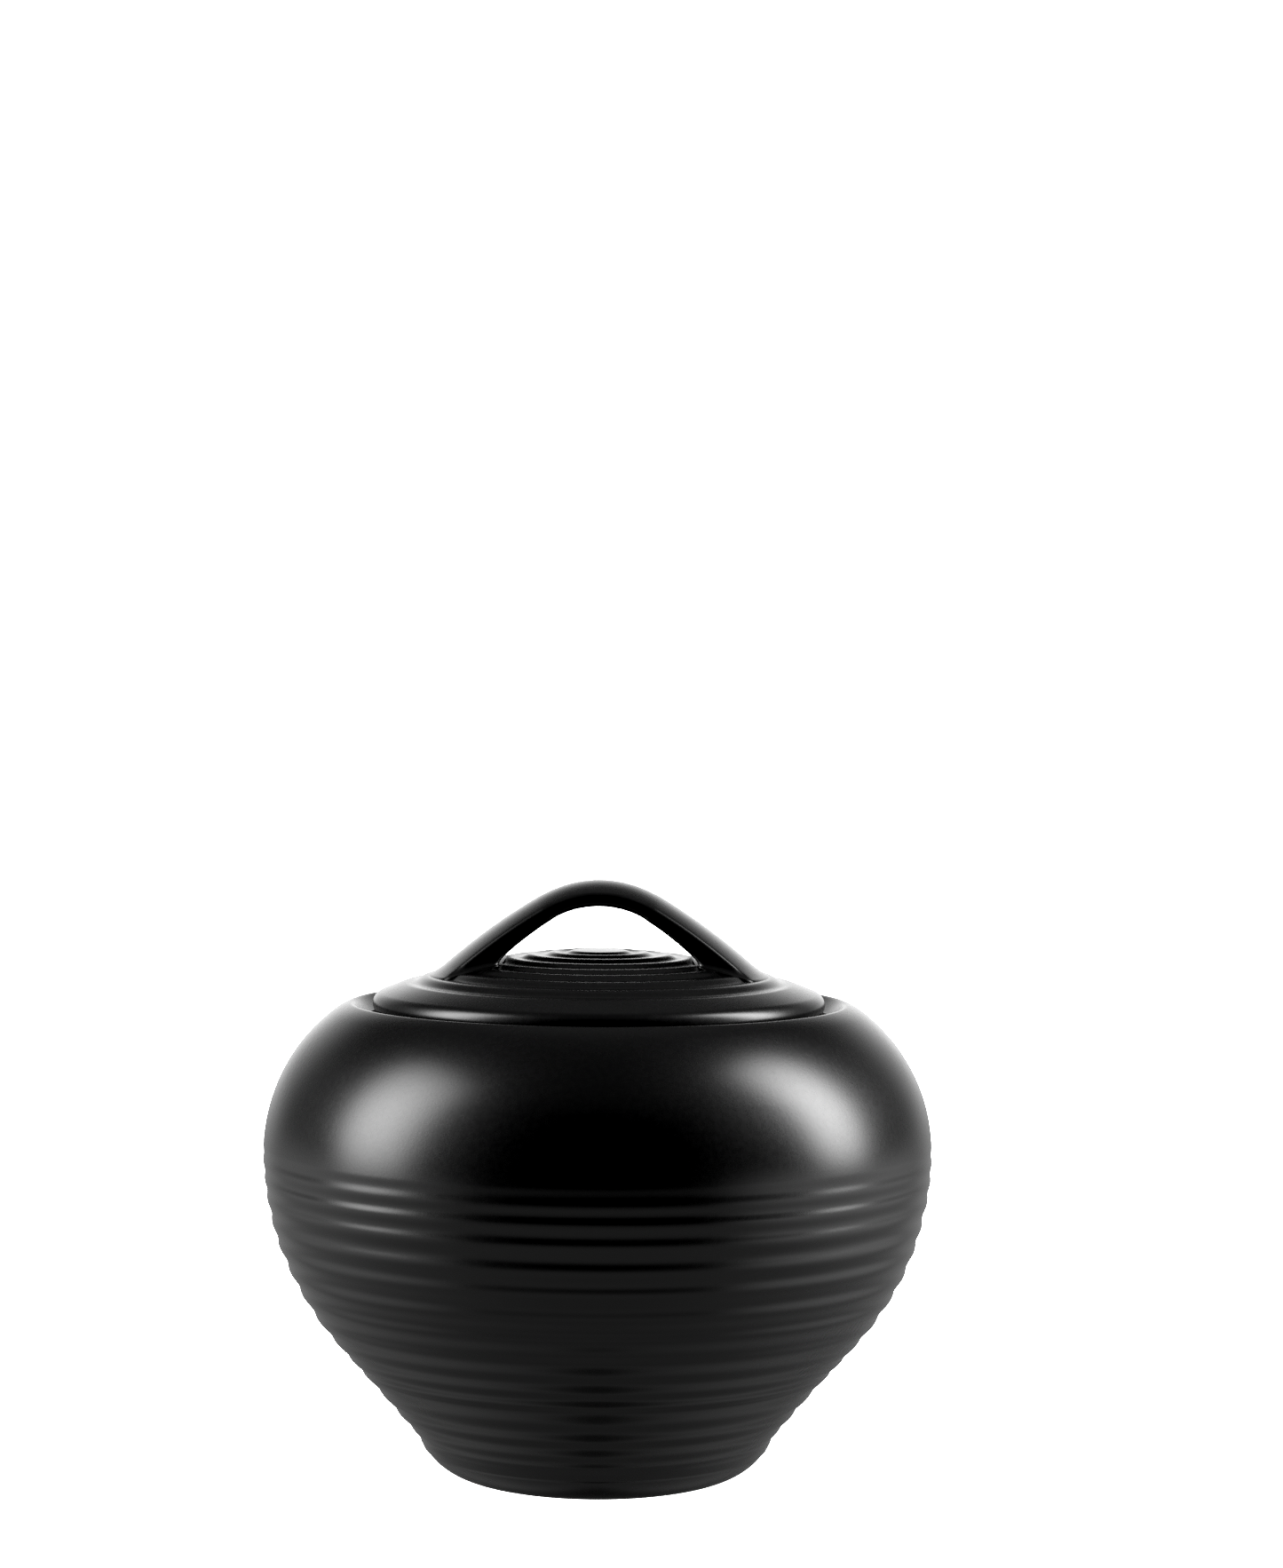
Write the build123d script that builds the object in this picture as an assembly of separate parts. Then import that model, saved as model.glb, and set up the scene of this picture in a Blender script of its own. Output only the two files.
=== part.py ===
"""Covered sugar bowl: a thrown stoneware pot, a domed lid and an arched strap handle on the lid.

Millimetres, +Z up. The origin is on the table, at the centre of the foot. The strap runs along X.
"""
from build123d import *
from math import acos, cos, degrees, radians, sin, sqrt, tan
import os

# Outside of the pot
WIDEST_RADIUS = 58.0
WIDEST_HEIGHT = 56.4
SHOULDER_BEND = 30.4
SHOULDER_START = 11.0
SHOULDER_END = 52.0
NECK_BEND = 12.0
NECK_END = 68.0
BELLY_BEND = 48.8
CONE_TOP = 23.5
CONE_SLOPE = 0.87
WAIST_RADIUS = 30.5
WAIST_HEIGHT = 6.0
WAIST_SLOPE = 0.5

# Foot
HEEL_BEND = 10.5
HEEL_END = -34.0
CONTACT_RADIUS = 20.9
CONTACT_WIDTH = 2.4
FOOT_RECESS = 2.2
RECESS_LEAN = 0.8
FOOT_ROUND = 0.5

# Throwing rings: the height of each crest, and the depth of the groove between each crest and the next
RING_CRESTS = (58.1, 55.0, 51.9, 48.4, 44.1, 40.2, 35.8, 31.8, 27.6, 23.8, 20.8, 18.2, 14.3, 11.1, 8.2, 5.9)
GROOVE_DEPTHS = (0.12, 0.2, 0.24, 0.36, 0.34, 0.42, 0.42, 0.45, 0.42, 0.32, 0.42, 0.35, 0.4, 0.3, 0.15)
GROOVE_PLACE = 0.45

# Lip and the sunken seat for the lid
LIP_BEND = 1.0
LIP_END = 140.0
SEAT_HEIGHT = 79.6
SEAT_OUTER_RADIUS = 40.5
THROAT_RADIUS = 34.8
SEAT_ROUND = 0.8

# Inside of the pot
SHOULDER_WALL = 4.2
INNER_SHOULDER_END = 39.0
INNER_NECK_BEND = 6.0
INNER_BELLY_BEND = 48.2
INNER_BELLY_END = -58.0
FLOOR_HEIGHT = 8.2
FLOOR_ROUND = 12.0

# Lid
LID_TOP = 91.25
DOME_BEND = 103.0
LID_WALL = 4.0
EDGE_BEND = 2.2
EDGE_RADIUS = 37.0
EDGE_START = 69.0
SEAT_GAP = 0.15
FLANGE_RADIUS = 33.6
FLANGE_WALL = 2.8
FLANGE_DEPTH = 4.7
FLANGE_ROUND = 0.8
LID_RING_CRESTS = (4.5, 8.0, 12.0, 16.0, 19.5, 22.8, 26.5, 30.2, 34.0)
LID_RING_GROOVE = 0.3
LID_RING_RUN = 1.4

# Strap handle
STRAP_TOP = 103.4
STRAP_THICKNESS = 4.1
STRAP_DEPTH = 18.0
STRAP_CROWN = 1.7
STRAP_EDGE_ROUND = 0.9
ARCH_BEND = 17.9
ARCH_LEAN = 31.5
LEG_BEND = 73.0
FLARE_LEAN = 20.0
FOOT_LEAN = 50.0
FLARE_THICKNESS = 3.3
FLARE_DEPTH = 6.4
LEG_SECTIONS = 8
ARCH_LENGTH = ARCH_BEND * radians(ARCH_LEAN)
LEG_LENGTH = LEG_BEND * radians(FOOT_LEAN - ARCH_LEAN)


def on_arc(centre, radius, angle):
    """Point on a circle, at an angle in degrees above the horizontal."""
    return (centre[0] + radius * cos(radians(angle)), centre[1] + radius * sin(radians(angle)))


def heading(angle):
    """Direction in which a circle runs on at an angle."""
    return (-sin(radians(angle)), cos(radians(angle)))


def add_arc(centre, radius, start, end):
    """Add to the outline an arc between two angles."""
    angles = (start, (start + end) / 2, end)
    ThreePointArc(*(on_arc(centre, radius, angle) for angle in angles))


def body_radius(height):
    """Radius of the pot's outside at a height, with the rings left out."""
    if height >= WIDEST_HEIGHT:
        rise = height - WIDEST_HEIGHT
        return WIDEST_RADIUS - SHOULDER_BEND + sqrt(SHOULDER_BEND ** 2 - rise ** 2)
    drop = WIDEST_HEIGHT - max(height, CONE_TOP)
    belly = WIDEST_RADIUS - BELLY_BEND + sqrt(BELLY_BEND ** 2 - drop ** 2)
    cone = belly - CONE_SLOPE * max(0.0, CONE_TOP - height)
    return max(cone, WAIST_RADIUS + WAIST_SLOPE * (height - WAIST_HEIGHT))


def add_rings(start):
    """Add the throwing rings to the outline, from the heel up: each is a bulge from groove to groove."""
    crests = RING_CRESTS[::-1]
    for crest, crest_above, depth in zip(crests, crests[1:], GROOVE_DEPTHS[::-1]):
        groove = crest + (crest_above - crest) * GROOVE_PLACE
        end = (body_radius(groove) - depth, groove)
        ThreePointArc(start, (body_radius(crest), crest), end)
        start = end
    return start


def make_bowl():
    """The pot: ring foot, ringed belly, smooth shoulder, rolled lip, sunken seat, hollow inside."""
    contact_inner = CONTACT_RADIUS - CONTACT_WIDTH
    heel = (CONTACT_RADIUS, HEEL_BEND)
    shoulder = (WIDEST_RADIUS - SHOULDER_BEND, WIDEST_HEIGHT)
    neck = on_arc(shoulder, SHOULDER_BEND - NECK_BEND, SHOULDER_END)
    lip = on_arc(neck, NECK_BEND - LIP_BEND, NECK_END)
    inner_shoulder_bend = SHOULDER_BEND - SHOULDER_WALL
    inner_neck = on_arc(shoulder, inner_shoulder_bend - INNER_NECK_BEND, INNER_SHOULDER_END)
    ceiling = on_arc(inner_neck, INNER_NECK_BEND, 90)
    inner_belly = (WIDEST_RADIUS - SHOULDER_WALL - INNER_BELLY_BEND, WIDEST_HEIGHT)
    slope_top = on_arc(inner_belly, INNER_BELLY_BEND, INNER_BELLY_END)
    floor_radius = slope_top[0] + (slope_top[1] - FLOOR_HEIGHT) * tan(radians(INNER_BELLY_END))

    with BuildPart() as bowl:
        with BuildSketch(Plane.XZ):
            with BuildLine():
                FilletPolyline(
                    (0, FOOT_RECESS),
                    (contact_inner - RECESS_LEAN, FOOT_RECESS),
                    (contact_inner, 0),
                    (CONTACT_RADIUS, 0),
                    radius=FOOT_ROUND,
                )
                add_arc(heel, HEEL_BEND, -90, HEEL_END)
                top_groove = add_rings(on_arc(heel, HEEL_BEND, HEEL_END))
                shoulder_start = on_arc(shoulder, SHOULDER_BEND, SHOULDER_START)
                TangentArc(shoulder_start, top_groove, tangent=heading(SHOULDER_START - 180))
                add_arc(shoulder, SHOULDER_BEND, SHOULDER_START, SHOULDER_END)
                add_arc(neck, NECK_BEND, SHOULDER_END, NECK_END)
                add_arc(lip, LIP_BEND, NECK_END, LIP_END)
                FilletPolyline(
                    on_arc(lip, LIP_BEND, LIP_END),
                    (SEAT_OUTER_RADIUS, SEAT_HEIGHT),
                    (THROAT_RADIUS, SEAT_HEIGHT),
                    (THROAT_RADIUS, ceiling[1]),
                    ceiling,
                    radius=SEAT_ROUND,
                )
                add_arc(inner_neck, INNER_NECK_BEND, 90, INNER_SHOULDER_END)
                add_arc(shoulder, inner_shoulder_bend, INNER_SHOULDER_END, 0)
                add_arc(inner_belly, INNER_BELLY_BEND, 0, INNER_BELLY_END)
                FilletPolyline(
                    slope_top, (floor_radius, FLOOR_HEIGHT), (0, FLOOR_HEIGHT), radius=FLOOR_ROUND
                )
                Line((0, FLOOR_HEIGHT), (0, FOOT_RECESS))
            make_face()
        revolve(axis=Axis.Z)
    return bowl.part


def dome_height(radius):
    """Height of the lid's top at a distance from its axis, with the rings left out."""
    return LID_TOP - DOME_BEND + sqrt(DOME_BEND ** 2 - radius ** 2)


def add_lid_top(edge):
    """Add to the outline the ringed top of the lid, from the axis to its round edge."""
    rings = []
    for crest in LID_RING_CRESTS:
        groove = crest + LID_RING_RUN
        rings.append((crest, dome_height(crest)))
        rings.append((groove, dome_height(groove) - LID_RING_GROOVE))
    outward = heading(EDGE_START)
    Spline(
        on_arc(edge, EDGE_BEND, EDGE_START),
        *rings[::-1],
        (0, LID_TOP),
        tangents=[outward, (-1, 0)],
    )


def make_lid():
    """The domed lid: ringed top, round edge that sits in the pot's seat, locating flange below."""
    rest = SEAT_HEIGHT + SEAT_GAP
    edge = (EDGE_RADIUS, rest + EDGE_BEND)
    flange_inner = FLANGE_RADIUS - FLANGE_WALL
    flange_bottom = rest - FLANGE_DEPTH
    dome = (0, LID_TOP - DOME_BEND)
    under_bend = DOME_BEND - LID_WALL
    under_start = degrees(acos(flange_inner / under_bend))

    with BuildPart() as lid:
        with BuildSketch(Plane.XZ):
            with BuildLine():
                add_arc(edge, EDGE_BEND, -90, EDGE_START)
                add_lid_top(edge)
                Line((0, LID_TOP), (0, LID_TOP - LID_WALL))
                add_arc(dome, under_bend, 90, under_start)
                FilletPolyline(
                    on_arc(dome, under_bend, under_start),
                    (flange_inner, flange_bottom),
                    (FLANGE_RADIUS, flange_bottom),
                    (FLANGE_RADIUS, rest),
                    (EDGE_RADIUS, rest),
                    radius=FLANGE_ROUND,
                )
            make_face()
        revolve(axis=Axis.Z)
    with BuildPart() as blank:
        with BuildSketch(Plane.XZ):
            with BuildLine():
                add_arc(edge, EDGE_BEND, -90, EDGE_START)
                add_lid_top(edge)
                Polyline((0, LID_TOP), (0, rest), (EDGE_RADIUS, rest))
            make_face()
        revolve(axis=Axis.Z)
    return lid.part, blank.part


def strap_section(distance):
    """Cross-section at a distance along the arch: flat inside, crowned outside, edges rounded."""
    side = -1 if distance < 0 else 1
    arch_lean = degrees(abs(distance) / ARCH_BEND)
    leg_lean = ARCH_LEAN + degrees((abs(distance) - ARCH_LENGTH) / LEG_BEND)
    lean = min(arch_lean, max(ARCH_LEAN, leg_lean))
    flare = max(0.0, (lean - FLARE_LEAN) / (FOOT_LEAN - FLARE_LEAN))
    half_depth = (STRAP_DEPTH + FLARE_DEPTH * flare ** 2) / 2
    outer = (STRAP_THICKNESS + FLARE_THICKNESS * flare ** 3) / 2
    shoulder = outer - STRAP_CROWN

    arch = (0, STRAP_TOP - STRAP_THICKNESS / 2 - ARCH_BEND)
    leg = on_arc(arch, ARCH_BEND - LEG_BEND, 90 - ARCH_LEAN)
    centre, bend = (arch, ARCH_BEND) if lean <= ARCH_LEAN else (leg, LEG_BEND)
    x, z = on_arc(centre, bend, 90 - lean)
    forward = (cos(radians(lean)), 0, -side * sin(radians(lean)))
    with BuildSketch(Plane((side * x, 0, z), x_dir=(0, 1, 0), z_dir=forward)) as section:
        with BuildLine():
            Polyline(
                (-half_depth, shoulder), (-half_depth, -outer), (half_depth, -outer), (half_depth, shoulder)
            )
            ThreePointArc((half_depth, shoulder), (0, outer), (-half_depth, shoulder))
        make_face()
        fillet(section.vertices(), STRAP_EDGE_ROUND)
    return section.sketch


def make_handle(lid_blank):
    """The arched strap, its feet cut to the lid's top so that they meet it face to face.

    The lid's blank is turned so that its seam lies away from the feet.
    """
    step = (ARCH_LENGTH + LEG_LENGTH) / LEG_SECTIONS
    strap = loft([strap_section(step * count) for count in range(-LEG_SECTIONS, LEG_SECTIONS + 1)])
    return strap - Rot(0, 0, 90) * lid_blank


lid, lid_blank = make_lid()
nodes = {"bowl": make_bowl(), "lid": lid, "lid_handle": make_handle(lid_blank)}

os.makedirs("parts", exist_ok=True)
for name, solid in nodes.items():
    export_step(solid, f"parts/{name}.step")
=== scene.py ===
"""Looks of the covered sugar bowl: satin black stoneware, thrown in rings, with a strap on its lid.

Lengths on the pot are in millimetres until a mesh is made in metres, like the frame. Materials, lights and
the camera are in metres.
"""
from math import cos, radians, sin, tan

import bpy
import numpy as np
from mathutils import Matrix, Vector


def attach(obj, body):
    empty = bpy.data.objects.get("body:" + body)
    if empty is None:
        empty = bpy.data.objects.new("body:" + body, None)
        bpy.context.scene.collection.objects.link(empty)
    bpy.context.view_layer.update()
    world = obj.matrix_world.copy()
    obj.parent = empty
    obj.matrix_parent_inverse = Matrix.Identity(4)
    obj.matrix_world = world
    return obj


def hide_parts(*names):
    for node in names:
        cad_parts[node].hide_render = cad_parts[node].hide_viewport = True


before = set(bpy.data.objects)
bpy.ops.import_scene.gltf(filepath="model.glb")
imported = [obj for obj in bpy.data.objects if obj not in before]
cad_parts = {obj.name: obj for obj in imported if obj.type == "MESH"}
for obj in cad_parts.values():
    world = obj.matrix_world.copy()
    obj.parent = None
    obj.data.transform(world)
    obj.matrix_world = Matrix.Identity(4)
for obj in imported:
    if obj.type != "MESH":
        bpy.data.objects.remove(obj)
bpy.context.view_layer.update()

MM = 0.001
TURN = 2 * np.pi
TINY = 1e-9

# Outside of the pot
WIDEST_RADIUS, WIDEST_HEIGHT = 58.0, 56.4
SHOULDER_BEND, SHOULDER_END = 30.4, 52.0
NECK_BEND, NECK_END = 12.0, 68.0
BELLY_BEND = 48.8
CONE_TOP, CONE_SLOPE = 23.5, 0.87
WAIST_RADIUS, WAIST_HEIGHT, WAIST_SLOPE = 30.5, 6.0, 0.5
HEEL_BEND, HEEL_END = 10.5, -34.0
CONTACT_RADIUS, CONTACT_WIDTH = 20.9, 2.4
FOOT_RECESS, RECESS_LEAN, FOOT_ROUND = 2.2, 0.8, 0.5

# Throwing rings: heights of the crests, depth of the groove under each, how far up a groove is deepest,
# and the share of its depth that is left once the glaze has pooled in it
RING_CRESTS = (58.1, 55.0, 51.9, 48.4, 44.1, 40.2, 35.8, 31.8, 27.6, 23.8, 20.8, 18.2, 14.3, 11.1, 8.2, 5.9)
GROOVE_DEPTHS = (0.12, 0.2, 0.24, 0.36, 0.34, 0.42, 0.42, 0.45, 0.42, 0.32, 0.42, 0.35, 0.4, 0.3, 0.15)
GROOVE_PLACE, GROOVE_LEFT = 0.45, 0.9

# Lip, seat and inside of the pot
LIP_BEND, LIP_END = 1.0, 140.0
SEAT_HEIGHT, SEAT_OUTER_RADIUS, THROAT_RADIUS, SEAT_ROUND = 79.6, 40.5, 34.8, 0.8
SHOULDER_WALL = 4.2
INNER_SHOULDER_END, INNER_NECK_BEND = 39.0, 6.0
INNER_BELLY_BEND, INNER_BELLY_END = 48.2, -58.0
FLOOR_HEIGHT, FLOOR_ROUND = 8.2, 12.0

# Lid
LID_TOP, DOME_BEND, LID_WALL = 91.25, 103.0, 4.0
EDGE_BEND, EDGE_RADIUS, EDGE_START = 2.2, 37.0, 69.0
SEAT_GAP = 0.15
FLANGE_RADIUS, FLANGE_WALL, FLANGE_DEPTH, FLANGE_ROUND = 33.6, 2.8, 4.7, 0.8
LID_RING_CRESTS = (4.5, 8.0, 12.0, 16.0, 19.5, 22.8, 26.5, 30.2, 34.0)
LID_GROOVE_DEPTHS = (0.42,) * 8

# Strap
STRAP_TOP, STRAP_THICKNESS, STRAP_DEPTH, STRAP_CROWN = 103.4, 4.1, 18.0, 1.9
OUTER_EDGE_ROUND, INNER_EDGE_ROUND = 0.9, 0.7
ARCH_BEND, ARCH_LEAN, LEG_BEND = 17.9, 31.5, 73.0
FLARE_LEAN, FOOT_LEAN, FLARE_THICKNESS, FLARE_DEPTH = 20.0, 50.0, 3.3, 6.4
ROOT_FILLET, ROOT_SINK = 1.1, 0.6

# Meshes: steps between points in mm, and numbers of points
SEGMENTS = 288
WALL_STEP, ARC_STEP, EDGE_STEP, LIP_STEP = 0.16, 0.4, 0.2, 0.1
SAME_POINT = 1e-4
LEAST_ARC_STEPS, ROUND_POINTS = 4, 9
STRAP_STEPS, STRAP_EASE, STRAP_SAMPLES = 130, 1.8, 520
CROWN_POINTS, CORNER_POINTS, SIDE_POINTS, INNER_POINTS = 14, 10, 5, 10

# Unevenness of the hand-thrown wall: size, waves in one turn, twist in radians for each mm of height, start
RING_LIFT, RING_RIPPLE = (0.10, 1, 0.11, 0.6), (0.05, 3, -0.23, 0.0)
OUT_OF_ROUND, DENTS = (0.05, 2, 0.0, 0.9), (0.03, 5, 0.4, 0.0)
UNEVEN_FROM, UNEVEN_FROM_FADE = 6.0, 10.0
UNEVEN_TO, UNEVEN_TO_FADE = 70.0, 12.0
EVEN_RADIUS = 1.0

# Bare clay: how far it reaches past the foot ring, and which faces count as lying on a level
FOOT_WIPE, FOOT_WIPE_WIDTH = 0.5, 1.2
FLAT_ENOUGH, LEVEL_SLACK = 0.9, 0.1

# Glaze: grain in metres and detail of each noise, then colours, roughness and bump depths in metres
CLOUDS, SPECKLE, PEBBLE, SWELL = (0.012, 3), (0.0009, 2), (0.0005, 2), (0.006, 1)
GLAZE_DARK, GLAZE_LIGHT = (0.0007, 0.0007, 0.0008), (0.0013, 0.0013, 0.0014)
GLAZE_ROUGHNESS, ROUGHNESS_SPECKLE = (0.262, 0.278), (-0.01, 0.01)
PEBBLE_DEPTH, SWELL_DEPTH = 0.000005, 0.000003

# Clay and floor, in the same way
CLAY_GRAIN, CLAY_DEPTH = (0.0008, 4), 0.00008
CLAY_DARK, CLAY_LIGHT = (0.020, 0.017, 0.015), (0.045, 0.038, 0.033)
CLAY_ROUGHNESS = (0.75, 0.92)
FLOOR_GRAIN, FLOOR_DEPTH = (0.05, 3), 0.0001
FLOOR_DARK, FLOOR_LIGHT = (0.88, 0.88, 0.88), (0.90, 0.90, 0.90)
FLOOR_ROUGHNESS = (0.8, 0.9)
FLOOR_HALF = 4.0

# Room as the glaze reflects it. Each part fades between two places (first and second numbers) from one light
# to another (third and fourth), as a direction turns up, back behind the pot, or to the right. A place of 1
# is straight up, back or right, and -1 is the opposite way
FILL_BACK, FILL_UP = (-0.3, 0.7, 0.0, 0.17), (0.3, 0.6, 1.0, 0.15)
WALL_BACK, WALL_UP = (0.68, 1.06, 0.0, 1.3), (0.2, 0.55, 1.0, 0.03)
SWEEP_BACK, SWEEP_UP = (0.9, 1.0, 0.0, 1.2), (0.05, 0.4, 1.0, 0.0)
CEILING_UP = (0.55, 0.9, 0.0, 0.08)
AHEAD_UP, AHEAD_BACK = (-0.6, 0.0, 0.32, 0.0), (0.85, 1.0, 1.0, 0.15)
RIGHT_SIDE, LEFT_SIDE = (0.6, 1.0, 0.0, 1.4), (-0.6, -1.0, 0.0, 1.0)
SIDES_UP = (-0.75, -0.05, 0.14, 1.0)
BEHIND_BACK, BEHIND_UP = (0.4, 1.0, 0.0, 0.6), (-0.6, -0.05, 0.0, 1.0)
UNDERFOOT_UP = (-1.0, -0.75, 0.75, 1.0)
HORIZON_UP = (-0.12, 0.04, 1.0, 0.0)
LEAST_LEVEL = 0.05

# Softboxes: name, azimuth and elevation in degrees, width and height in metres, power in watts
SOFTBOXES = (
    ("softbox_left", -80, 23.5, 0.60, 1.06, 26.5),
    ("softbox_right", 89.5, 27.5, 0.46, 1.10, 30.5),
)
SOFTBOX_DISTANCE = 0.9
MIDDLE = Vector((0, 0, 0.055))
FLOOR_LAMP_STRENGTH, FLOOR_LAMP_ANGLE = 30.0, 120

# Camera, in metres and degrees
CAMERA_PLACE = (0.0071, -0.650, 0.14345)
CAMERA_TILT, CAMERA_ROLL = 2.06, 0.43
LENS, SENSOR_WIDTH = 86.13, 36.0
CLIP_START, CLIP_END = 0.05, 20.0
BLACK_LEVEL = 0.003


# Outlines ---------------------------------------------------------------------------------------

def on_arc(centre, radius, angle):
    """Point on a circle, at an angle in degrees above the horizontal."""
    return (centre[0] + radius * cos(radians(angle)), centre[1] + radius * sin(radians(angle)))


def arc(centre, radius, start, end, step=ARC_STEP):
    """Points along an arc, about a step apart."""
    count = max(LEAST_ARC_STEPS, int(abs(radians(end - start)) * radius / step))
    return [on_arc(centre, radius, angle) for angle in np.linspace(start, end, count + 1)]


def rounded(corners, radius, step=ARC_STEP):
    """Straight runs between corners, inner corners rounded to a radius, with points about a step apart."""
    corners = [np.array(corner, float) for corner in corners]
    path = [corners[0]]
    for before, corner, after in zip(corners, corners[1:], corners[2:]):
        back = (before - corner) / np.linalg.norm(before - corner)
        ahead = (after - corner) / np.linalg.norm(after - corner)
        half = np.arccos(np.clip(back @ ahead, -1, 1)) / 2
        reach = radius / np.tan(half)
        middle = corner + (back + ahead) / np.linalg.norm(back + ahead) * radius / np.sin(half)
        turn = np.linspace(0, 1, ROUND_POINTS)[:, None]
        start, end = corner + back * reach - middle, corner + ahead * reach - middle
        spokes = start * (1 - turn) + end * turn
        path.extend(middle + spokes / np.linalg.norm(spokes, axis=1)[:, None] * radius)
    path.append(corners[-1])
    points = [path[0]]
    for point in path[1:]:
        last = points[-1]
        count = max(1, round(np.linalg.norm(point - last) / step))
        points.extend(last + (point - last) * share for share in np.arange(1, count + 1) / count)
    return [tuple(point) for point in points]


def joined(*runs):
    """One outline from several runs of points, with repeated points dropped."""
    points = [point for run in runs for point in run]
    kept = [points[0]]
    for point in points[1:]:
        if np.hypot(point[0] - kept[-1][0], point[1] - kept[-1][1]) > SAME_POINT:
            kept.append(point)
    return np.array(kept)


def relief(places, crests, depths):
    """Depth of the rounded grooves between crests, at places along a ringed surface."""
    depth = np.zeros_like(places)
    for low, high, deepest in zip(crests, crests[1:], depths):
        groove = low + (high - low) * GROOVE_PLACE
        for start, end in ((low, groove), (high, groove)):
            share = (places - start) / (end - start)
            inside = (share >= 0) & (share < 1)
            depth[inside] = deepest * (1 - np.cos(np.pi * share[inside])) / 2
    return depth


def body_radius(height):
    """Radius of the pot's outside at each height, with the rings left out."""
    rise = np.clip(height - WIDEST_HEIGHT, 0, SHOULDER_BEND)
    shoulder = WIDEST_RADIUS - SHOULDER_BEND + np.sqrt(SHOULDER_BEND ** 2 - rise ** 2)
    drop = WIDEST_HEIGHT - np.clip(height, CONE_TOP, WIDEST_HEIGHT)
    belly = WIDEST_RADIUS - BELLY_BEND + np.sqrt(BELLY_BEND ** 2 - drop ** 2)
    cone = belly - CONE_SLOPE * np.clip(CONE_TOP - height, 0, None)
    wall = np.maximum(cone, WAIST_RADIUS + WAIST_SLOPE * (height - WAIST_HEIGHT))
    return np.where(height >= WIDEST_HEIGHT, shoulder, wall)


def bowl_outline():
    """Half section of the pot, from the middle of the foot round the outside to the inner floor."""
    contact_inner = CONTACT_RADIUS - CONTACT_WIDTH
    heel = (CONTACT_RADIUS, HEEL_BEND)
    shoulder = (WIDEST_RADIUS - SHOULDER_BEND, WIDEST_HEIGHT)
    neck = on_arc(shoulder, SHOULDER_BEND - NECK_BEND, SHOULDER_END)
    lip = on_arc(neck, NECK_BEND - LIP_BEND, NECK_END)
    inner_bend = SHOULDER_BEND - SHOULDER_WALL
    inner_neck = on_arc(shoulder, inner_bend - INNER_NECK_BEND, INNER_SHOULDER_END)
    ceiling = on_arc(inner_neck, INNER_NECK_BEND, 90)
    inner_belly = (WIDEST_RADIUS - SHOULDER_WALL - INNER_BELLY_BEND, WIDEST_HEIGHT)
    slope_top = on_arc(inner_belly, INNER_BELLY_BEND, INNER_BELLY_END)
    floor_radius = slope_top[0] + (slope_top[1] - FLOOR_HEIGHT) * tan(radians(INNER_BELLY_END))

    wall_bottom = on_arc(heel, HEEL_BEND, HEEL_END)
    wall_top = on_arc(shoulder, SHOULDER_BEND, SHOULDER_END)
    heights = np.arange(wall_bottom[1], wall_top[1], WALL_STEP)
    grooves = relief(heights, RING_CRESTS[::-1], GROOVE_DEPTHS[::-1])
    wall = list(zip(body_radius(heights) - grooves * GROOVE_LEFT, heights))
    return joined(
        rounded(
            [(0, FOOT_RECESS), (contact_inner - RECESS_LEAN, FOOT_RECESS), (contact_inner, 0),
             (CONTACT_RADIUS, 0)],
            FOOT_ROUND,
        ),
        arc(heel, HEEL_BEND, -90, HEEL_END),
        wall[1:],
        arc(neck, NECK_BEND, SHOULDER_END, NECK_END),
        arc(lip, LIP_BEND, NECK_END, LIP_END, LIP_STEP),
        rounded(
            [on_arc(lip, LIP_BEND, LIP_END), (SEAT_OUTER_RADIUS, SEAT_HEIGHT), (THROAT_RADIUS, SEAT_HEIGHT),
             (THROAT_RADIUS, ceiling[1]), ceiling],
            SEAT_ROUND,
        ),
        arc(inner_neck, INNER_NECK_BEND, 90, INNER_SHOULDER_END),
        arc(shoulder, inner_bend, INNER_SHOULDER_END, 0),
        arc(inner_belly, INNER_BELLY_BEND, 0, INNER_BELLY_END),
        rounded([slope_top, (floor_radius, FLOOR_HEIGHT), (0, FLOOR_HEIGHT)], FLOOR_ROUND),
    )


def dome_height(radius):
    """Height of the lid's top at each distance from its axis, with the rings left out."""
    return LID_TOP - DOME_BEND + np.sqrt(DOME_BEND ** 2 - radius ** 2)


def lid_outline():
    """Half section of the lid, from the middle of its underside round its edge to the middle of its top."""
    rest = SEAT_HEIGHT + SEAT_GAP
    edge = (EDGE_RADIUS, rest + EDGE_BEND)
    flange_inner = FLANGE_RADIUS - FLANGE_WALL
    flange_bottom = rest - FLANGE_DEPTH
    under_bend = DOME_BEND - LID_WALL
    under = np.arange(0, flange_inner - 2 * FLANGE_ROUND, ARC_STEP)
    under_height = LID_TOP - DOME_BEND + np.sqrt(under_bend ** 2 - under ** 2)
    root = (flange_inner, LID_TOP - DOME_BEND + np.sqrt(under_bend ** 2 - flange_inner ** 2))

    edge_top = on_arc(edge, EDGE_BEND, EDGE_START)
    radii = np.arange(0, edge_top[0], WALL_STEP)
    grooves = relief(radii, LID_RING_CRESTS, LID_GROOVE_DEPTHS)
    settle = np.clip((radii - LID_RING_CRESTS[-1]) / (edge_top[0] - LID_RING_CRESTS[-1]), 0, 1) ** 2
    top = dome_height(radii) - grooves + settle * (edge_top[1] - dome_height(edge_top[0]))
    return joined(
        list(zip(under, under_height)),
        rounded(
            [(under[-1], under_height[-1]), root, (flange_inner, flange_bottom),
             (FLANGE_RADIUS, flange_bottom), (FLANGE_RADIUS, rest), (EDGE_RADIUS, rest)],
            FLANGE_ROUND,
        ),
        arc(edge, EDGE_BEND, -90, EDGE_START, EDGE_STEP),
        list(zip(radii, top))[::-1],
    )


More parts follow.
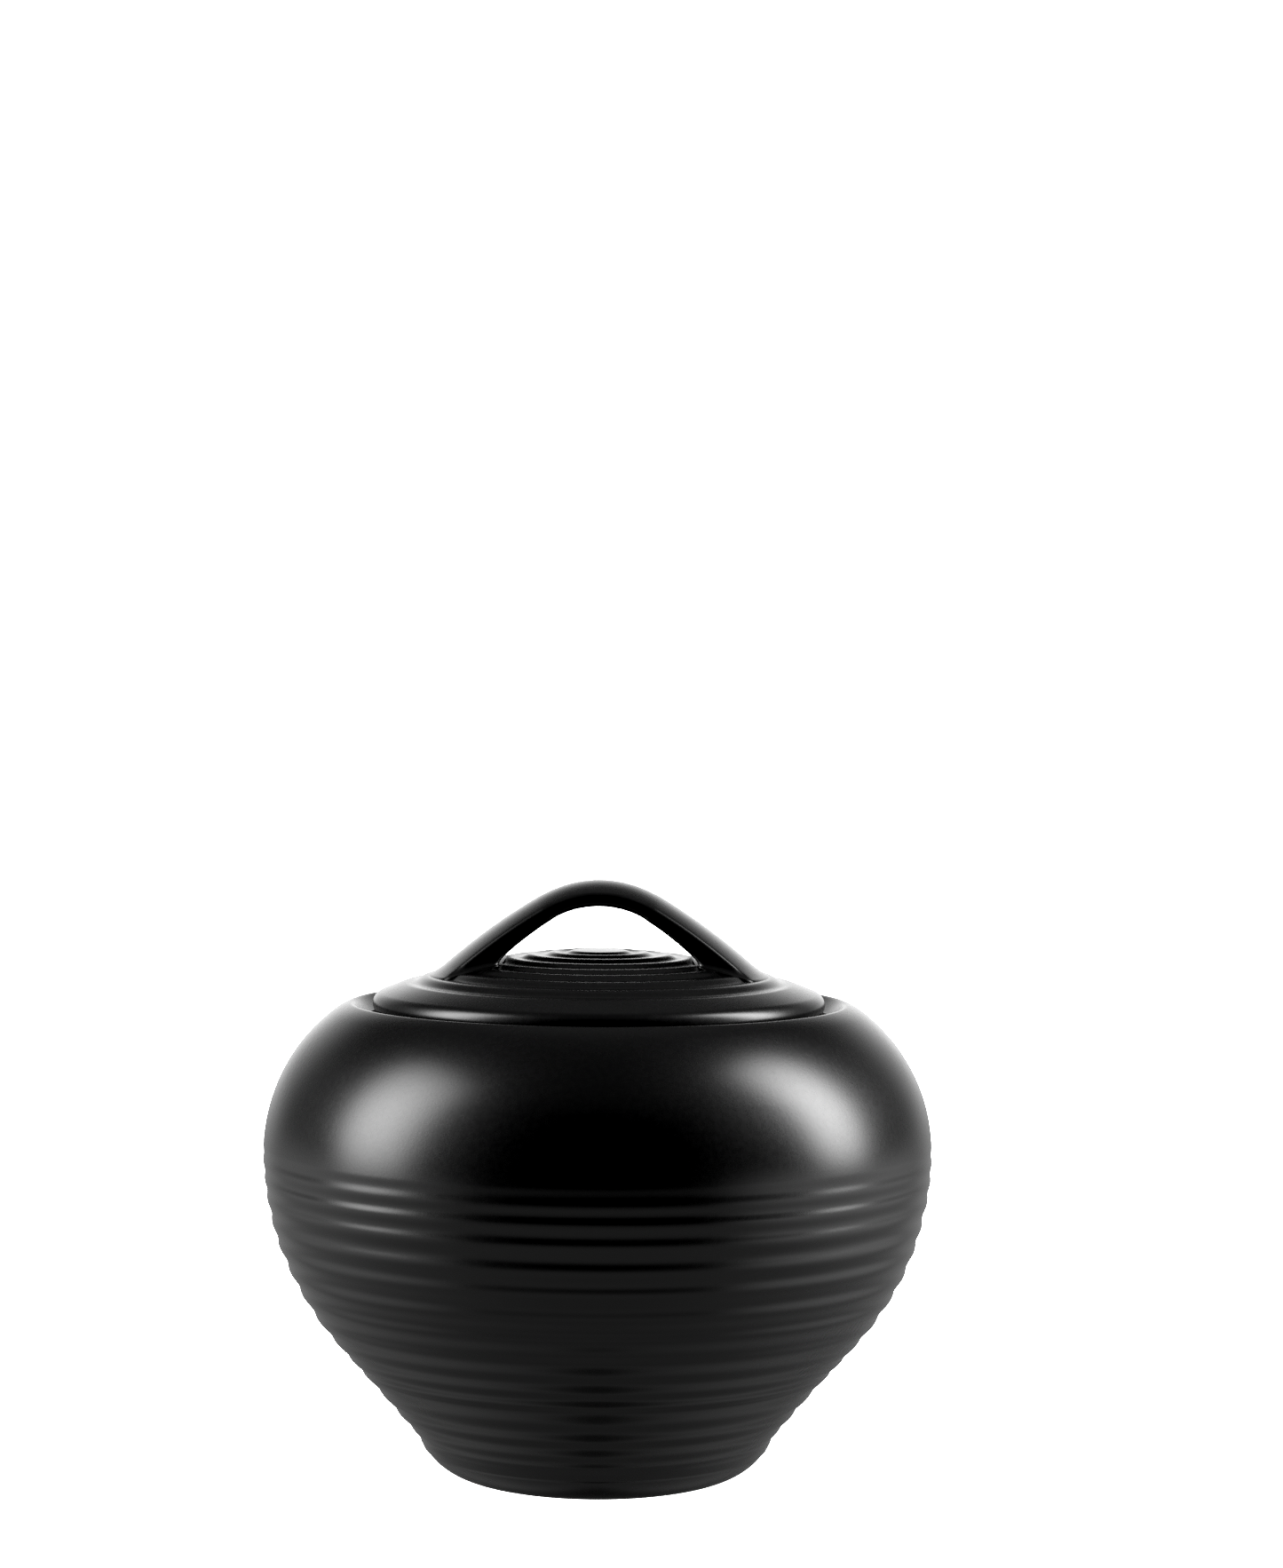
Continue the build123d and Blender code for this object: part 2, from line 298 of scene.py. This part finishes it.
# Meshes -----------------------------------------------------------------------------------------

def new_piece(name, node, body, vertices, faces, materials):
    """A smooth mesh piece that stands for a CAD node and rides on a body."""
    mesh = bpy.data.meshes.new(name)
    mesh.from_pydata((np.asarray(vertices) * MM).tolist(), [], faces)
    mesh.shade_smooth()
    for material in materials:
        mesh.materials.append(material)
    piece = bpy.data.objects.new(name, mesh)
    bpy.context.scene.collection.objects.link(piece)
    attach(piece, body)
    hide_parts(node)
    return piece


def wave(shape, height, angle):
    """A wave that runs round the pot and twists with height."""
    size, count, twist, start = shape
    return size * np.sin(count * angle + twist * height + start)


def by_hand(radius, height, angle):
    """Small unevenness of a thrown pot: the rings rise and fall, and the belly isn't quite round."""
    fade_in = np.clip((height - UNEVEN_FROM) / UNEVEN_FROM_FADE, 0, 1)
    fade_out = np.clip((UNEVEN_TO - height) / UNEVEN_TO_FADE, 0, 1)
    lift = wave(RING_LIFT, height, angle) + wave(RING_RIPPLE, height, angle)
    swell = wave(OUT_OF_ROUND, height, angle) + wave(DENTS, height, angle)
    inward = fade_in * fade_out * (swell - OUT_OF_ROUND[0] - DENTS[0])
    return radius + inward * (radius > EVEN_RADIUS), height + fade_in * fade_out * lift


def turned(outline, unevenness=None):
    """Vertices and faces of a closed shape turned from an outline whose two ends lie on the axis."""
    angles = np.arange(SEGMENTS) * TURN / SEGMENTS
    radius = np.repeat(outline[1:-1, :1], SEGMENTS, axis=1)
    height = np.repeat(outline[1:-1, 1:], SEGMENTS, axis=1)
    if unevenness:
        radius, height = unevenness(radius, height, angles[None, :])
    ring_points = np.stack([radius * np.cos(angles), radius * np.sin(angles), height], axis=-1)
    ring_points = ring_points.reshape(-1, 3)
    first, last = len(ring_points), len(ring_points) + 1
    vertices = np.vstack([ring_points, [0, 0, outline[0, 1]], [0, 0, outline[-1, 1]]])
    rows = len(outline) - 2
    around = np.arange(SEGMENTS)
    after = (around + 1) % SEGMENTS
    low = (np.arange(rows - 1) * SEGMENTS)[:, None]
    quads = np.stack([low + around, low + after, low + SEGMENTS + after, low + SEGMENTS + around], axis=-1)
    top = (rows - 1) * SEGMENTS
    faces = quads.reshape(-1, 4).tolist()
    faces += [(first, int(b), int(a)) for a, b in zip(around, after)]
    faces += [(last, int(top + a), int(top + b)) for a, b in zip(around, after)]
    return vertices, faces


def strap_outline(half_depth, half_thickness):
    """Points once round the strap's cross-section, across and out: crowned outside, every edge rounded."""
    drop = STRAP_CROWN * (1 - OUTER_EDGE_ROUND / half_depth) ** 2
    tilt = np.arctan(2 * STRAP_CROWN / half_depth)
    outer = np.array([half_depth - OUTER_EDGE_ROUND, half_thickness - drop - OUTER_EDGE_ROUND])
    inner = np.array([half_depth - INNER_EDGE_ROUND, INNER_EDGE_ROUND - half_thickness])
    turn = np.linspace(np.pi / 2 - tilt, 0, CORNER_POINTS)
    outer_edge = outer + OUTER_EDGE_ROUND * np.stack([np.cos(turn), np.sin(turn)], axis=1)
    turn = np.linspace(0, -np.pi / 2, CORNER_POINTS)
    inner_edge = inner + INNER_EDGE_ROUND * np.stack([np.cos(turn), np.sin(turn)], axis=1)
    across = np.linspace(0, outer_edge[0, 0], CROWN_POINTS)[:-1]
    rise = half_thickness - outer_edge[0, 1]
    crown = np.stack([across, half_thickness - rise * (across / outer_edge[0, 0]) ** 2], axis=1)
    side = np.linspace(outer_edge[-1], inner_edge[0], SIDE_POINTS)[1:-1]
    inside = np.linspace(inner_edge[-1], (0, -half_thickness), INNER_POINTS)[1:]
    front = np.vstack([crown, outer_edge, side, inner_edge, inside])
    return np.vstack([front, front[-2:0:-1] * [-1, 1]])


def strap_points(distance):
    """Points of the strap's surface at each distance along one leg from the top of the arch."""
    arch_length = ARCH_BEND * radians(ARCH_LEAN)
    arch_middle = (0, STRAP_TOP - STRAP_THICKNESS / 2 - ARCH_BEND)
    leg_middle = on_arc(arch_middle, ARCH_BEND - LEG_BEND, 90 - ARCH_LEAN)
    on_leg = distance > arch_length
    lean = np.where(on_leg, radians(ARCH_LEAN) + (distance - arch_length) / LEG_BEND, distance / ARCH_BEND)
    flare = np.clip((np.degrees(lean) - FLARE_LEAN) / (FOOT_LEAN - FLARE_LEAN), 0, None)
    half_depth = (STRAP_DEPTH + FLARE_DEPTH * flare ** 2) / 2
    half_thickness = (STRAP_THICKNESS + FLARE_THICKNESS * flare ** 3) / 2
    outlines = np.array([strap_outline(*half) for half in zip(half_depth, half_thickness)])
    reach = np.where(on_leg, LEG_BEND, ARCH_BEND)[:, None] + outlines[:, :, 1]
    x = np.where(on_leg, leg_middle[0], 0)[:, None] + reach * np.sin(lean)[:, None]
    z = np.where(on_leg, leg_middle[1], arch_middle[1])[:, None] + reach * np.cos(lean)[:, None]
    return np.stack([x, -outlines[:, :, 0], z], axis=-1)


def above_lid(points):
    """Height of points above the lid's smooth dome."""
    return points[..., 2] - dome_height(np.hypot(points[..., 0], points[..., 1]))


def strap_mesh():
    """Vertices and faces of the strap: both legs run just into the lid, with the clay smoothed in round."""
    arch_length = ARCH_BEND * radians(ARCH_LEAN)
    length = arch_length + LEG_BEND * radians(FOOT_LEAN - ARCH_LEAN)
    distance = np.linspace(0, length, STRAP_SAMPLES)
    samples = strap_points(distance)
    height = above_lid(samples)
    steps = 1 - (1 - np.linspace(0, 1, STRAP_STEPS + 1)) ** STRAP_EASE
    leg = np.empty((len(steps), samples.shape[1], 3))
    for line in range(samples.shape[1]):
        end = np.interp(ROOT_SINK, -height[:, line], distance)
        for axis in range(3):
            leg[:, line, axis] = np.interp(steps * end, distance, samples[:, line, axis])

    # Clay smoothed in: points near the lid move outward over it, more the nearer they are
    along = np.gradient(leg, axis=0)
    around = np.roll(leg, -1, axis=1) - np.roll(leg, 1, axis=1)
    normal = np.cross(around, along)
    up = leg - [0, 0, LID_TOP - DOME_BEND]
    up /= np.linalg.norm(up, axis=-1, keepdims=True)
    normal -= up * (normal * up).sum(axis=-1, keepdims=True)
    normal /= np.maximum(np.linalg.norm(normal, axis=-1, keepdims=True), TINY)
    share = 1 - np.clip(above_lid(leg) / ROOT_FILLET, 0, 1)
    leg += normal * (ROOT_FILLET * (1 - np.sqrt(1 - share ** 2)))[..., None]
    leg[0, :, 0] = 0

    # The other leg is the same leg mirrored
    lines = leg.shape[1]
    grid = np.concatenate([leg[:0:-1] * [-1, 1, 1], leg])
    vertices = grid.reshape(-1, 3)
    rows = np.arange(len(grid) - 1)[:, None] * lines
    around = np.arange(lines)
    after = (around + 1) % lines
    quads = np.stack([rows + around, rows + after, rows + lines + after, rows + lines + around], axis=-1)
    faces = quads.reshape(-1, 4).tolist()
    faces.append(around[::-1].tolist())
    faces.append((around + (len(grid) - 1) * lines).tolist())
    return vertices, faces


# Materials --------------------------------------------------------------------------------------

def new_material(name):
    """A new node material, its surface shader and the object's own coordinates."""
    material = bpy.data.materials.new(name)
    material.use_nodes = True
    nodes = material.node_tree.nodes
    nodes.clear()
    output = nodes.new("ShaderNodeOutputMaterial")
    shader = nodes.new("ShaderNodeBsdfPrincipled")
    place = nodes.new("ShaderNodeTexCoord")
    material.node_tree.links.new(shader.outputs["BSDF"], output.inputs["Surface"])
    return material, shader, place.outputs["Object"]


def noise(material, place, grain, detail):
    """Noise with a grain in metres."""
    texture = material.node_tree.nodes.new("ShaderNodeTexNoise")
    texture.inputs["Scale"].default_value = 1 / grain
    texture.inputs["Detail"].default_value = detail
    material.node_tree.links.new(place, texture.inputs["Vector"])
    return texture.outputs["Fac"]


def spread(material, value, low, high, start=0.3, end=0.7):
    """A value carried from one range to another; most of a noise lies between 0.3 and 0.7."""
    ramp = material.node_tree.nodes.new("ShaderNodeMapRange")
    for socket, number in zip(("From Min", "From Max", "To Min", "To Max"), (start, end, low, high)):
        ramp.inputs[socket].default_value = number
    material.node_tree.links.new(value, ramp.inputs["Value"])
    return ramp.outputs["Result"]


def tinted(material, value, low, high):
    """A colour between two others."""
    mix = material.node_tree.nodes.new("ShaderNodeMix")
    mix.data_type = "RGBA"
    mix.inputs["A"].default_value = (*low, 1)
    mix.inputs["B"].default_value = (*high, 1)
    material.node_tree.links.new(value, mix.inputs["Factor"])
    return mix.outputs["Result"]


def bumped(material, height, depth, below=None):
    """A surface normal raised by a height from 0 to 1, as deep as given in metres, over an earlier one."""
    bump = material.node_tree.nodes.new("ShaderNodeBump")
    bump.inputs["Distance"].default_value = depth
    material.node_tree.links.new(height, bump.inputs["Height"])
    if below:
        material.node_tree.links.new(below, bump.inputs["Normal"])
    return bump.outputs["Normal"]


def black_glaze():
    """Satin black glaze: nearly black, finely pebbled, with cloudy changes of gloss."""
    material, shader, place = new_material("satin_black_glaze")
    links = material.node_tree.links
    clouds = noise(material, place, *CLOUDS)
    speckle = noise(material, place, *SPECKLE)
    pebble = noise(material, place, *PEBBLE)
    swell = noise(material, place, *SWELL)
    colour = tinted(material, spread(material, speckle, 0, 1), GLAZE_DARK, GLAZE_LIGHT)
    links.new(colour, shader.inputs["Base Color"])
    roughness = material.node_tree.nodes.new("ShaderNodeMath")
    roughness.operation = "ADD"
    links.new(spread(material, clouds, *GLAZE_ROUGHNESS), roughness.inputs[0])
    links.new(spread(material, speckle, *ROUGHNESS_SPECKLE), roughness.inputs[1])
    links.new(roughness.outputs["Value"], shader.inputs["Roughness"])
    swollen = bumped(material, swell, SWELL_DEPTH)
    links.new(bumped(material, pebble, PEBBLE_DEPTH, swollen), shader.inputs["Normal"])
    return material


def grainy(name, grain, dark, light, roughness, depth):
    """A matt material whose colour, roughness and bump all follow one grain."""
    material, shader, place = new_material(name)
    links = material.node_tree.links
    value = noise(material, place, *grain)
    colour = tinted(material, spread(material, value, 0, 1), dark, light)
    links.new(colour, shader.inputs["Base Color"])
    links.new(spread(material, value, *roughness), shader.inputs["Roughness"])
    links.new(bumped(material, value, depth), shader.inputs["Normal"])
    return material


def bare_clay():
    """Dark stoneware left unglazed where a piece rests."""
    return grainy("bare_dark_clay", CLAY_GRAIN, CLAY_DARK, CLAY_LIGHT, CLAY_ROUGHNESS, CLAY_DEPTH)


# Pieces -----------------------------------------------------------------------------------------

def leave_bare(piece, low, high, inner, outer):
    """Give the second material to the level faces that lie between two heights and two radii."""
    for face in piece.data.polygons:
        x, y, z = face.center / MM
        if low <= z <= high and inner <= np.hypot(x, y) <= outer and abs(face.normal.z) > FLAT_ENOUGH:
            face.material_index = 1


glaze = black_glaze()
clay = bare_clay()
bowl = new_piece("sugar_bowl_body", "bowl", "bowl", *turned(bowl_outline(), by_hand), [glaze, clay])
lid = new_piece("sugar_bowl_lid", "lid", "lid", *turned(lid_outline()), [glaze, clay])
strap = new_piece("sugar_bowl_strap", "lid_handle", "lid", *strap_mesh(), [glaze])
contact_inner = CONTACT_RADIUS - CONTACT_WIDTH
leave_bare(bowl, 0, FOOT_WIPE, contact_inner - FOOT_WIPE, CONTACT_RADIUS + FOOT_WIPE_WIDTH)
leave_bare(bowl, SEAT_HEIGHT - LEVEL_SLACK, SEAT_HEIGHT + LEVEL_SLACK, THROAT_RADIUS, SEAT_OUTER_RADIUS)
rest = SEAT_HEIGHT + SEAT_GAP
leave_bare(lid, rest - LEVEL_SLACK, rest + LEVEL_SLACK, FLANGE_RADIUS, EDGE_RADIUS)


# Studio -----------------------------------------------------------------------------------------

def from_camera(azimuth, elevation, distance):
    """Point at a distance from the middle of the pot; azimuth 0 is toward the camera, 90 toward +X."""
    across, up = radians(azimuth), radians(elevation)
    aim = Vector((sin(across) * cos(up), -cos(across) * cos(up), sin(up)))
    return MIDDLE + aim * distance


def calculator(tree):
    """A function that adds a calculation to a node tree; each value is a number or another node's output."""
    def calculate(operation, *values):
        node = tree.nodes.new("ShaderNodeMath")
        node.operation = operation
        for socket, value in zip(node.inputs, values):
            if isinstance(value, (int, float)):
                socket.default_value = value
            else:
                tree.links.new(value, socket)
        return node.outputs["Value"]

    return calculate


def parabola(calculate, value):
    """A value from 0 to 1 turned into a rise from 0 to 1 and back."""
    product = calculate("MULTIPLY", value, calculate("SUBTRACT", 1.0, value))
    highest = 0.25
    return calculate("MULTIPLY", product, 1 / highest)


def softbox(name, azimuth, elevation, width, height, power):
    """A softbox that faces the pot, bright in its middle and dim toward its edges."""
    light = bpy.data.lights.new(name, "AREA")
    light.shape = "RECTANGLE"
    light.size, light.size_y = width, height
    light.energy = power
    light.use_nodes = True
    nodes, links = light.node_tree.nodes, light.node_tree.links
    nodes.clear()
    output = nodes.new("ShaderNodeOutputLight")
    emission = nodes.new("ShaderNodeEmission")
    links.new(emission.outputs["Emission"], output.inputs["Surface"])
    place = nodes.new("ShaderNodeNewGeometry")
    split = nodes.new("ShaderNodeSeparateXYZ")
    links.new(place.outputs["Parametric"], split.inputs["Vector"])
    calculate = calculator(light.node_tree)
    glow = [parabola(calculate, split.outputs[axis]) for axis in ("X", "Y")]
    links.new(calculate("MULTIPLY", *glow), emission.inputs["Strength"])
    box = bpy.data.objects.new(name, light)
    box.location = from_camera(azimuth, elevation, SOFTBOX_DISTANCE)
    box.rotation_euler = (MIDDLE - box.location).to_track_quat("-Z", "Y").to_euler()
    box.visible_camera = False
    bpy.context.scene.collection.objects.link(box)
    return box


def world_nodes():
    """The room: white for the camera, and for reflections a bright wall behind and a pale floor below."""
    world = bpy.data.worlds.new("studio")
    bpy.context.scene.world = world
    world.use_nodes = True
    nodes, links = world.node_tree.nodes, world.node_tree.links
    nodes.clear()
    output = nodes.new("ShaderNodeOutputWorld")
    background = nodes.new("ShaderNodeBackground")
    links.new(background.outputs["Background"], output.inputs["Surface"])
    place = nodes.new("ShaderNodeTexCoord")
    split = nodes.new("ShaderNodeSeparateXYZ")
    links.new(place.outputs["Generated"], split.inputs["Vector"])
    calculate = calculator(world.node_tree)

    def ramp(value, start, end, low, high):
        node = nodes.new("ShaderNodeMapRange")
        node.interpolation_type = "SMOOTHSTEP"
        for socket, number in zip(("From Min", "From Max", "To Min", "To Max"), (start, end, low, high)):
            node.inputs[socket].default_value = number
        links.new(value, node.inputs["Value"])
        return node.outputs["Result"]

    # Light on the walls and above; back is 1 straight behind the pot, however high the direction points
    side, away, up = split.outputs["X"], split.outputs["Y"], split.outputs["Z"]
    level = calculate("SQRT", calculate("SUBTRACT", 1.0, calculate("MULTIPLY", up, up)))
    back = calculate("DIVIDE", away, calculate("MAXIMUM", level, LEAST_LEVEL))
    fill = calculate("MULTIPLY", ramp(back, *FILL_BACK), ramp(up, *FILL_UP))
    wall = calculate("MULTIPLY", ramp(back, *WALL_BACK), ramp(up, *WALL_UP))
    sweep = calculate("MULTIPLY", ramp(back, *SWEEP_BACK), ramp(up, *SWEEP_UP))
    high = calculate("ADD", ramp(up, *CEILING_UP), sweep)
    room = calculate("ADD", high, calculate("ADD", fill, wall))

    # Light on the ground
    ahead = calculate("MULTIPLY", ramp(up, *AHEAD_UP), ramp(back, *AHEAD_BACK))
    sides = calculate("ADD", ramp(side, *RIGHT_SIDE), ramp(side, *LEFT_SIDE))
    beside = calculate("MULTIPLY", sides, ramp(up, *SIDES_UP))
    behind = calculate("MULTIPLY", ramp(back, *BEHIND_BACK), ramp(up, *BEHIND_UP))
    lit = calculate("ADD", ahead, calculate("ADD", beside, behind))
    ground = calculate("MULTIPLY", lit, ramp(up, *UNDERFOOT_UP))

    # Both together, with a soft horizon between
    below = ramp(up, *HORIZON_UP)
    above = calculate("SUBTRACT", 1.0, below)
    seen = calculate("ADD", calculate("MULTIPLY", room, above), calculate("MULTIPLY", ground, below))
    path = nodes.new("ShaderNodeLightPath")
    strength = calculate("MAXIMUM", seen, path.outputs["Is Camera Ray"])
    links.new(strength, background.inputs["Strength"])
    background.inputs["Color"].default_value = (1, 1, 1, 1)


def white_floor():
    """A wide white floor for the camera alone: the pot neither reflects it nor is lit by it."""
    half = FLOOR_HALF
    corners = [(-half, -half, 0), (half, -half, 0), (half, half, 0), (-half, half, 0)]
    mesh = bpy.data.meshes.new("floor")
    mesh.from_pydata(corners, [], [(0, 1, 2, 3)])
    floor = bpy.data.objects.new("floor", mesh)
    bpy.context.scene.collection.objects.link(floor)
    material = grainy("white_floor", FLOOR_GRAIN, FLOOR_DARK, FLOOR_LIGHT, FLOOR_ROUGHNESS, FLOOR_DEPTH)
    mesh.materials.append(material)
    floor.visible_glossy = False
    floor.visible_diffuse = False
    return floor


def only_lights(light, *objects):
    """Keep a light to these objects alone."""
    group = bpy.data.collections.new(light.name + "_receivers")
    for item in objects:
        group.objects.link(item)
    light.light_linking.receiver_collection = group


world_nodes()
for softbox_light in [softbox(*setting) for setting in SOFTBOXES]:
    only_lights(softbox_light, bowl, lid, strap)

floor = white_floor()
sun_light = bpy.data.lights.new("floor_light", "SUN")
sun_light.energy = FLOOR_LAMP_STRENGTH
sun_light.angle = radians(FLOOR_LAMP_ANGLE)
sun_light.use_shadow = False
sun = bpy.data.objects.new("floor_light", sun_light)
bpy.context.scene.collection.objects.link(sun)
only_lights(sun, floor)

camera_data = bpy.data.cameras.new("camera")
camera_data.lens, camera_data.sensor_width = LENS, SENSOR_WIDTH
camera_data.clip_start, camera_data.clip_end = CLIP_START, CLIP_END
camera = bpy.data.objects.new("camera", camera_data)
camera.matrix_world = (
    Matrix.Translation(CAMERA_PLACE)
    @ Matrix.Rotation(radians(90 - CAMERA_TILT), 4, "X")
    @ Matrix.Rotation(radians(CAMERA_ROLL), 4, "Z")
)
bpy.context.scene.collection.objects.link(camera)
bpy.context.scene.camera = camera
view = bpy.context.scene.view_settings
view.view_transform = "Standard"
view.use_curve_mapping = True
view.curve_mapping.black_level = (BLACK_LEVEL,) * 3
